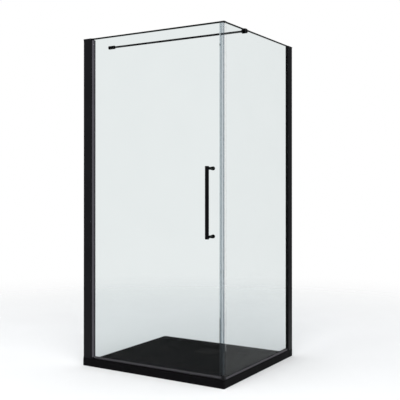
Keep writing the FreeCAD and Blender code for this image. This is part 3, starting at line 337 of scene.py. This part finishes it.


# Panes: 8 mm toughened float glass, clear, with ground edges. The top edges are bare and are painted near
# black as shade. The two ends at the corner are wetted by their clear seals, and the other edges sit in
# gaskets.
def toughened_glass(name, node, sealed):
    """Clear glass with a faint roller wave. A share of plain refraction, which mirrors nothing, keeps its
    mirror image weak. Over the last mm of its height, at the bare top edge, its tint goes to a near-black
    painted shade.
    Light goes straight through the sealed zones. A zone is where all its limits hold, and each limit is a
    measure, a way and a value: X and Y are places in metres, and Mirror the share that bare glass
    mirrors at the angle of view."""
    ior = 1.52
    plain_share = 0.6
    shade_mm = 8.5
    fade_mm = 2.0
    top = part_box(node)[1][2]
    material, tree = new_material(name)
    place = add(tree, "ShaderNodeTexCoord")
    spot = add(tree, "ShaderNodeSeparateXYZ", {0: place.outputs["Object"]})
    # Painted shade: the last mm below the top edge are tinted near black, and rougher.
    edge = add(tree, "ShaderNodeMapRange", {"Value": spot.outputs["Z"],
                                            "From Min": top - (shade_mm + fade_mm) / 1000,
                                            "From Max": top - shade_mm / 1000},
               interpolation_type="SMOOTHSTEP")
    film = add(tree, "ShaderNodeTexNoise", {"Vector": place.outputs["Object"], "Scale": per_mm(180)[0],
                                            "Detail": 3.0})
    body = add(tree, "ShaderNodeMix", {0: film.outputs["Fac"], 6: linear("#e3e8e8"), 7: linear("#ebefef")},
               data_type="RGBA")
    # Painted shade: the body tint turns near black at the top edge.
    tint = add(tree, "ShaderNodeMix", {0: edge.outputs[0], 6: body.outputs[2], 7: linear("#0d1412")},
               data_type="RGBA")
    rough = add(tree, "ShaderNodeMapRange", {"Value": edge.outputs[0], "To Min": 0.0, "To Max": 0.25})
    wave = add(tree, "ShaderNodeTexNoise", {"Vector": place.outputs["Object"], "Scale": per_mm(300)[0],
                                            "Detail": 0.0})
    bent = add(tree, "ShaderNodeBump", {"Height": wave.outputs["Fac"], "Distance": 0.0004, "Strength": 0.3})
    shader = add(tree, "ShaderNodeBsdfPrincipled", {"Base Color": tint.outputs[2],
                                                    "Roughness": rough.outputs[0], "IOR": ior,
                                                    "Transmission Weight": 1.0,
                                                    "Specular Tint": linear("#565858"),
                                                    "Normal": bent.outputs[0]})
    plain = add(tree, "ShaderNodeBsdfRefraction", {"Color": linear("#f2f5f5"),
                                                   "Roughness": rough.outputs[0], "IOR": ior,
                                                   "Normal": bent.outputs[0]})
    share = add(tree, "ShaderNodeMapRange", {"Value": edge.outputs[0], "To Min": plain_share,
                                             "To Max": 0.0})
    pane = add(tree, "ShaderNodeMixShader", {0: share.outputs[0], 1: shader.outputs[0],
                                             2: plain.outputs[0]})
    clear = add(tree, "ShaderNodeBsdfTransparent", {"Color": linear("#f4f6f6")})
    mirror = add(tree, "ShaderNodeFresnel", {"IOR": ior})
    measures = {"X": spot.outputs["X"], "Y": spot.outputs["Y"], "Mirror": mirror.outputs[0]}
    for limits in sealed:
        held = [add(tree, "ShaderNodeMath", {0: measures[measure], 1: value}, operation=way).outputs[0]
                for measure, way, value in limits]
        zone = held[0]
        for also in held[1:]:
            zone = add(tree, "ShaderNodeMath", {0: zone, 1: also}, operation="MULTIPLY").outputs[0]
        pane = add(tree, "ShaderNodeMixShader", {0: zone, 1: pane.outputs[0], 2: clear.outputs[0]})
    add(tree, "ShaderNodeOutputMaterial", {"Surface": pane.outputs[0]})
    return material


# Toughened glass: hardly seen against white, with a faint grey-green body and painted shade on its top
# edges. What enters the panel's end at a slant meets its inner face within 16 mm, where bare glass would
# mirror it and the wet seal lets it out.
door_clear = 0.010
end_clear = 0.001
face_clear = 0.016
face_skin = 0.0002
door_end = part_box("door_glass")[1][0]
panel_face, panel_end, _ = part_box("side_glass")[0]
door_sealed = [[("X", "GREATER_THAN", door_end - door_clear)]]
panel_sealed = [[("Y", "LESS_THAN", panel_end + end_clear)],
                [("Y", "LESS_THAN", panel_end + face_clear), ("X", "LESS_THAN", panel_face + face_skin),
                 ("Mirror", "GREATER_THAN", 0.9)]]
finish(["door_glass"], toughened_glass("toughened_glass_door", "door_glass", door_sealed), ease_mm=0.8)
finish(["side_glass"], toughened_glass("toughened_glass_panel", "side_glass", panel_sealed), ease_mm=0.8)


# Seals: extruded PVC clipped on the glass edges. The corner seals are clear and hold a magnet strip
# each; the door's bottom seal is smoke grey with a lip that sheds water into the tray.
def see_through_pvc(name, tones, film, through, roughness, painted_shade_above):
    """Thin PVC walls that let a share of the light straight through in the colour of the film. The rest is
    a satin skin with faint lines along the extrusion, drawn at 1.2 mm to show, and a slightly cloudy
    colour. Above the given height lies the sawn end, where the light let through is painted near black as
    shade."""
    material, tree = new_material(name)
    place = add(tree, "ShaderNodeTexCoord")
    cloud = add(tree, "ShaderNodeTexNoise", {"Vector": place.outputs["Object"], "Scale": per_mm(60)[0]})
    tone = add(tree, "ShaderNodeMix", {0: cloud.outputs["Fac"], 6: linear(tones[0]), 7: linear(tones[1])},
               data_type="RGBA")
    rough = add(tree, "ShaderNodeMapRange", {"Value": cloud.outputs["Fac"], "To Min": roughness[0],
                                             "To Max": roughness[1]})
    scaled = add(tree, "ShaderNodeMapping", {"Vector": place.outputs["Object"],
                                             "Scale": per_mm(1.2, 1.2, 300)})
    lines = add(tree, "ShaderNodeTexNoise", {"Vector": scaled.outputs[0], "Scale": 1.0})
    raised = add(tree, "ShaderNodeBump", {"Height": lines.outputs["Fac"], "Distance": 0.0001,
                                          "Strength": 0.5})
    skin = add(tree, "ShaderNodeBsdfPrincipled", {"Base Color": tone.outputs[2],
                                                  "Roughness": rough.outputs[0],
                                                  "Specular IOR Level": 0.2, "Normal": raised.outputs[0]})
    spot = add(tree, "ShaderNodeSeparateXYZ", {0: place.outputs["Object"]})
    # Painted shade: above that height the light let through is near black.
    sawn = add(tree, "ShaderNodeMath", {0: spot.outputs["Z"], 1: painted_shade_above}, operation="GREATER_THAN")
    seen = add(tree, "ShaderNodeMix", {0: sawn.outputs[0], 6: linear(film), 7: linear("#0d1412")},
               data_type="RGBA")
    clear = add(tree, "ShaderNodeBsdfTransparent", {"Color": seen.outputs[2]})
    both = add(tree, "ShaderNodeMixShader", {0: through, 1: skin.outputs[0], 2: clear.outputs[0]})
    add(tree, "ShaderNodeOutputMaterial", {"Surface": both.outputs[0]})
    return material


# Painted shade: the top 8 mm of the corner seal and magnet strips let light through near black.
shaded_end_mm = 8
corner_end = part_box("door_magnet_seal")[1][2] - shaded_end_mm / 1000
# Clear PVC: a bluish grey strip along the door's edge. Water-clear PVC on the panel hardly shows.
corner_pvc = see_through_pvc("clear_extruded_pvc", tones=("#868c91", "#92989c"), film="#e3e7e9",
                             through=0.96, roughness=(0.25, 0.40), painted_shade_above=corner_end)
water_clear_pvc = see_through_pvc("water_clear_extruded_pvc", tones=("#b4b8ba", "#bec2c4"), film="#fdfdfd",
                                  through=0.98, roughness=(0.2, 0.3), painted_shade_above=corner_end)
# Magnet strip: smoky bonded strip that takes on the tone behind it, so the corner reads as one grey line.
magnet = see_through_pvc("smoke_magnetic_strip", tones=("#85898c", "#8f9396"), film="#f6f8f9",
                         through=0.86, roughness=(0.55, 0.70), painted_shade_above=corner_end)
# Smoke PVC: a dark grey strip under the door that lets little light through and has no bare end.
smoke_pvc = see_through_pvc("smoke_grey_extruded_pvc", tones=("#474549", "#525054"), film="#6d6b70",
                            through=0.25, roughness=(0.30, 0.45),
                            painted_shade_above=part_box("door_bottom_seal")[1][2])
finish(["door_magnet_seal"], corner_pvc, ease_mm=0.3)
finish(["strike_seal"], water_clear_pvc, ease_mm=0.3)
finish(["door_magnet", "strike_magnet"], magnet, ease_mm=0.2)
finish(["door_bottom_seal"], smoke_pvc, ease_mm=0.3)


# Handle: a round stainless bar on two turned posts, powder coated matt black, screwed through the
# glass with sleeves and washers between metal and glass, and caps over the screw heads inside.
# Matt coat on steel: a deep black with a faint pebbled grain of 1.2 mm.
handle_black = opaque("matt_black_coat_on_steel", tones=("#08080a", "#0d0d0f"), patch_mm=60,
                      roughness=(0.40, 0.52), grain_mm=(1.2, 1.2, 1.2), depth_mm=0.05, specular=0.06)
finish(["handle_bar", "handle_posts"], handle_black, ease_mm=0)
finish(["handle_screws"], plain_steel, ease_mm=0)
finish(["handle_washers", "handle_sleeves", "handle_inner_caps"], moulded_nylon, ease_mm=0)


# Fixed panel's foot: a slim coated rail on the tray with rubber strips and setting blocks under the
# glass, and a moulded block that ends the rail at the corner.
# Painted highlight: the black rail takes the stile's pale grey coat, so it shows as a light line.
finish(["side_bottom_rail"], sheen_grey_coat, ease_mm=0.3)
finish(["side_setting_blocks", "corner_block"], moulded_nylon, ease_mm=0.3)
finish(["side_glass_gasket", "side_rail_gaskets"], rubber, ease_mm=0.2)


# Stay: a round coated steel bar from a wall socket to a clamp that is slotted over the panel's top
# edge and grips it between rubber pads. The socket sits on a plain steel plate screwed to the wall.
finish(["stay_wall_plate"], plain_steel, ease_mm=0)
finish(["stay_wall_socket", "stay_bar", "stay_clamp"], handle_black, ease_mm=0)
finish(["stay_clamp_pads"], rubber, ease_mm=0)


# Grub screws of the stay: one below the socket and one below the clamp press on the bar, and a larger one
# in the clamp's end presses its pads on the glass. Each has a hexagon socket of half its diameter.
def grub(radius, length):
    """Rings of a grub screw in mm, from its cone point to the floor of the hexagon socket in its end. Round
    the turn, the socket's radius is its half width divided by the cosine of the angle from a flat."""
    ease = 0.2
    socket = 0.5 * radius / np.cos(np.mod(TURN, np.pi / 3) - np.pi / 6)
    return [(0.6 * radius, -length), (radius, 0.4 * radius - length), (radius, -ease), (radius - ease, 0.0),
            (socket, 0.0), (socket, -0.5 * length)]


low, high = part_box("stay_grub_screws")
bar_low, bar_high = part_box("stay_bar")
bar_y = (bar_low[1] + bar_high[1]) / 2
bar_z = (bar_low[2] + bar_high[2]) / 2
socket_x = bar_low[0] + 0.0125
clamp_x = bar_high[0] - 0.006
bar_grub = grub(2.0, 4.5)
jaw_grub = grub(3.0, (high[0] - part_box("stay_clamp_pads")[1][0]) * 1000)
turned("hexagon_socket_screws", "stay_grub_screws",
       [((socket_x, bar_y, low[2]), (0, 0, -1), bar_grub), ((clamp_x, bar_y, low[2]), (0, 0, -1), bar_grub),
        ((high[0], bar_y, bar_z), (1, 0, 0), jaw_grub)], plain_steel)
